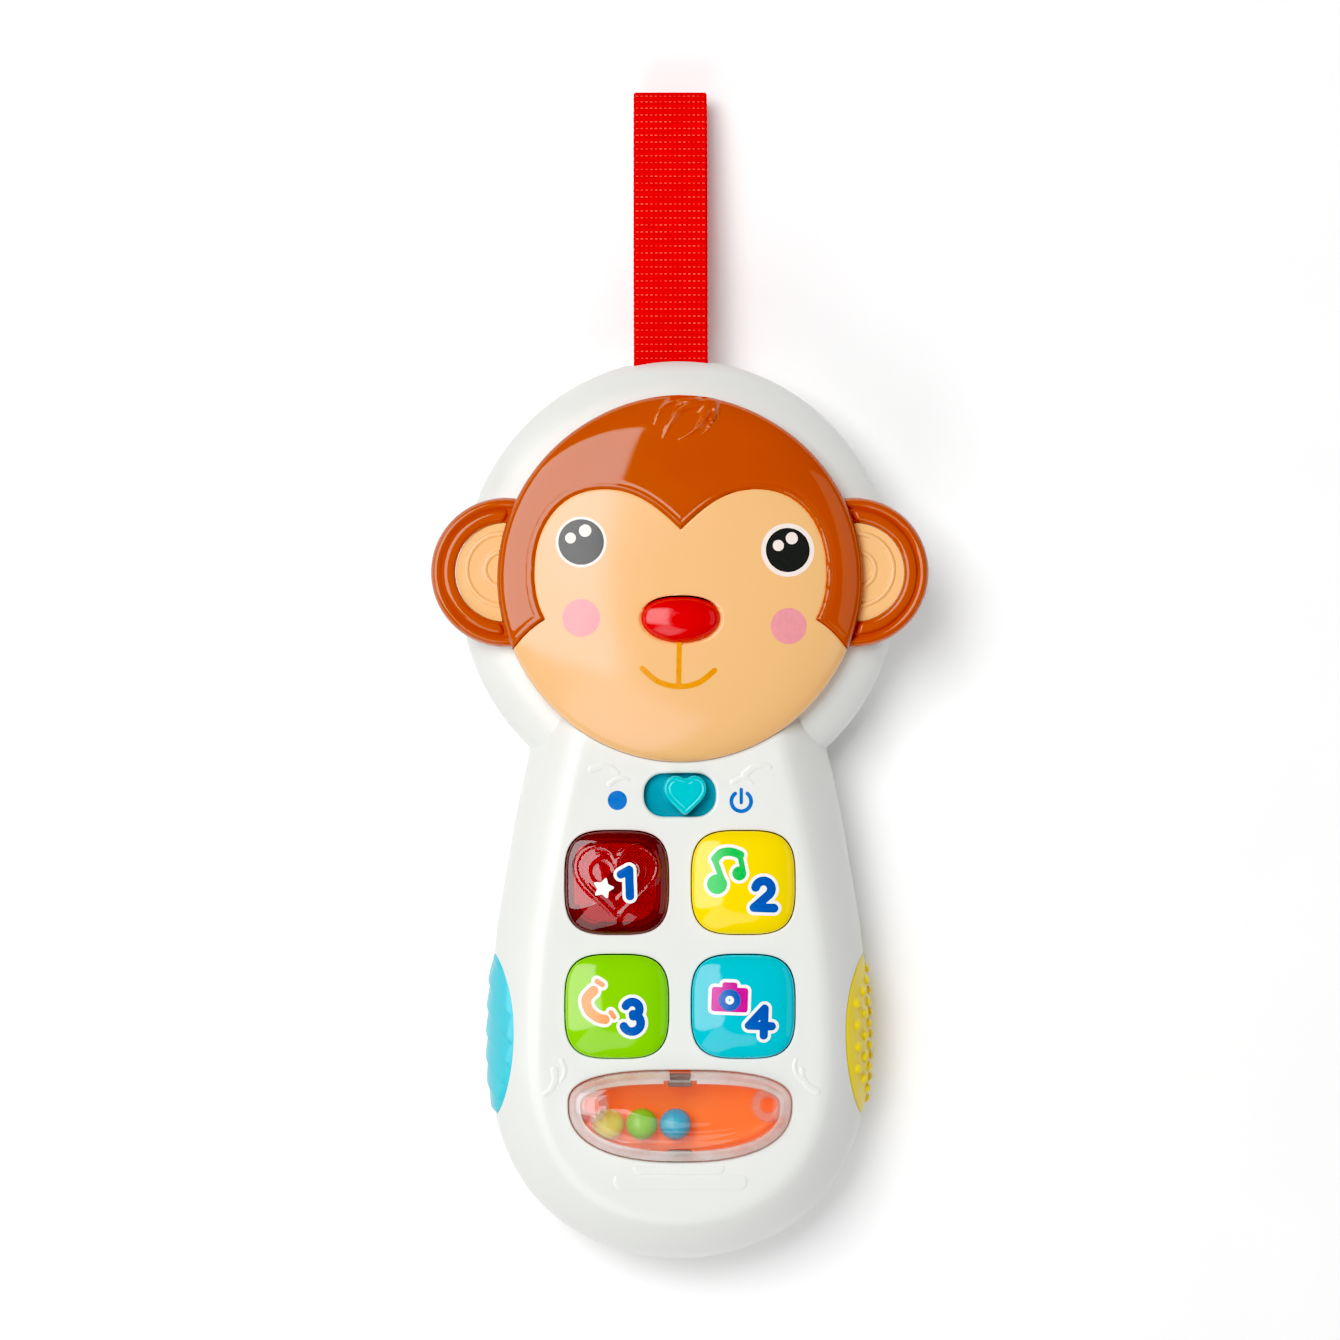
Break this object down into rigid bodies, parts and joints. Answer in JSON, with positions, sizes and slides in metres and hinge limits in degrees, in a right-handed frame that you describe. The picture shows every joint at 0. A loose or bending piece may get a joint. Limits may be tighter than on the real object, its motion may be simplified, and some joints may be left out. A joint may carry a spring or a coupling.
{
  "type": "toy cell phone",
  "caption": "Toy cell phone with a monkey-face head, push buttons, a sliding switch, a bead rattle window, soft side grips and a webbing strap loop.",
  "frame": {"origin": "on the flat back's plane, under the middle of the phone's box with its strap laid out", "axes": "+X to the phone's right as its face is seen, +Y from the grip to the strap, +Z out of the front"},
  "size_m": [0.1, 0.2382, 0.0408],
  "materials": {
    "white_plastic": "moulded, satin",
    "peach_plastic": "moulded, semi-gloss",
    "brown_plastic": "moulded, glossy",
    "red_plastic": "moulded, glossy",
    "clear_red_plastic": "translucent, glossy",
    "yellow_plastic": "moulded, glossy",
    "green_plastic": "moulded, glossy",
    "cyan_plastic": "moulded, glossy",
    "sky_plastic": "moulded, glossy",
    "orange_plastic": "moulded, satin",
    "clear_plastic": "clear, polished",
    "foil": "bright",
    "plated_steel": "nickel plated",
    "black_plastic": "matt",
    "grey_rubber": "matt",
    "circuit_board": "solder mask",
    "cell_jacket": "printed sleeve",
    "wire_jacket": "satin",
    "red_webbing": "woven"
  },
  "bodies": {
    "phone": {"front_housing": "white_plastic", "rear_housing": "white_plastic", "battery_cover": "white_plastic", "face_shell": "peach_plastic", "ear_insert_left": "peach_plastic", "ear_insert_right": "peach_plastic", "hair_shell": "brown_plastic", "led": "clear_red_plastic", "grip_right": "yellow_plastic", "grip_left": "cyan_plastic", "rattle_tray": "orange_plastic", "rattle_window": "clear_plastic", "battery_cover_screw": "plated_steel", "housing_screw_1": "plated_steel", "housing_screw_2": "plated_steel", "housing_screw_3": "plated_steel", "housing_screw_4": "plated_steel", "housing_screw_5": "plated_steel", "housing_screw_6": "plated_steel", "face_screw_1": "plated_steel", "face_screw_2": "plated_steel", "board_screw_1": "plated_steel", "board_screw_2": "plated_steel", "switch_body": "plated_steel", "speaker_frame": "plated_steel", "speaker_magnet": "plated_steel", "strap_pin": "plated_steel", "battery_spring_1": "plated_steel", "battery_spring_2": "plated_steel", "battery_plate_bridge": "plated_steel", "battery_plate_positive": "plated_steel", "battery_plate_negative": "plated_steel", "sound_chip": "black_plastic", "speaker_cone": "black_plastic", "dome_1": "grey_rubber", "dome_2": "grey_rubber", "dome_3": "grey_rubber", "dome_4": "grey_rubber", "nose_dome": "grey_rubber", "main_board": "circuit_board", "nose_board": "circuit_board", "battery_1": "cell_jacket", "battery_2": "cell_jacket", "speaker_wire": "wire_jacket", "battery_wire": "wire_jacket", "nose_wire": "wire_jacket", "strap": "red_webbing"},
    "button_1": {"button_1": "clear_red_plastic", "button_1_reflector": "foil"},
    "button_2": {"button_2": "yellow_plastic"},
    "button_3": {"button_3": "green_plastic"},
    "button_4": {"button_4": "cyan_plastic"},
    "nose": {"nose_button": "red_plastic"},
    "power_slider": {"power_slider": "cyan_plastic", "switch_lever": "black_plastic"},
    "bead_yellow": {"bead_yellow": "yellow_plastic"},
    "bead_green": {"bead_green": "green_plastic"},
    "bead_sky": {"bead_sky": "sky_plastic"}
  },
  "joints": [
    {"name": "button_1_press", "type": "slide", "parent": "phone", "child": "button_1", "axis": [0, 0, -1], "range_m": [0, 0.0012], "stiffness_N_per_m": 600, "deforming": ["dome_1"]},
    {"name": "button_2_press", "type": "slide", "parent": "phone", "child": "button_2", "axis": [0, 0, -1], "range_m": [0, 0.0012], "stiffness_N_per_m": 600, "deforming": ["dome_2"]},
    {"name": "button_3_press", "type": "slide", "parent": "phone", "child": "button_3", "axis": [0, 0, -1], "range_m": [0, 0.0012], "stiffness_N_per_m": 600, "deforming": ["dome_3"]},
    {"name": "button_4_press", "type": "slide", "parent": "phone", "child": "button_4", "axis": [0, 0, -1], "range_m": [0, 0.0012], "stiffness_N_per_m": 600, "deforming": ["dome_4"]},
    {"name": "nose_press", "type": "slide", "parent": "phone", "child": "nose", "axis": [0, 0, -1], "range_m": [0, 0.0012], "stiffness_N_per_m": 600, "deforming": ["nose_dome"]},
    {"name": "power_slide", "type": "slide", "parent": "phone", "child": "power_slider", "axis": [1, 0, 0], "range_m": [-0.003, 0.001]},
    {"name": "bead_yellow_roll", "type": "slide", "parent": "phone", "child": "bead_yellow", "axis": [1, 0, 0], "range_m": [0, 0.015]},
    {"name": "bead_green_roll", "type": "slide", "parent": "phone", "child": "bead_green", "axis": [1, 0, 0], "range_m": [0, 0.015]},
    {"name": "bead_sky_roll", "type": "slide", "parent": "phone", "child": "bead_sky", "axis": [1, 0, 0], "range_m": [0, 0.015]}
  ],
  "couplings": [
    {"joint": "bead_green_roll", "follows": "bead_yellow_roll", "ratio": 1},
    {"joint": "bead_sky_roll", "follows": "bead_yellow_roll", "ratio": 1}
  ]
}
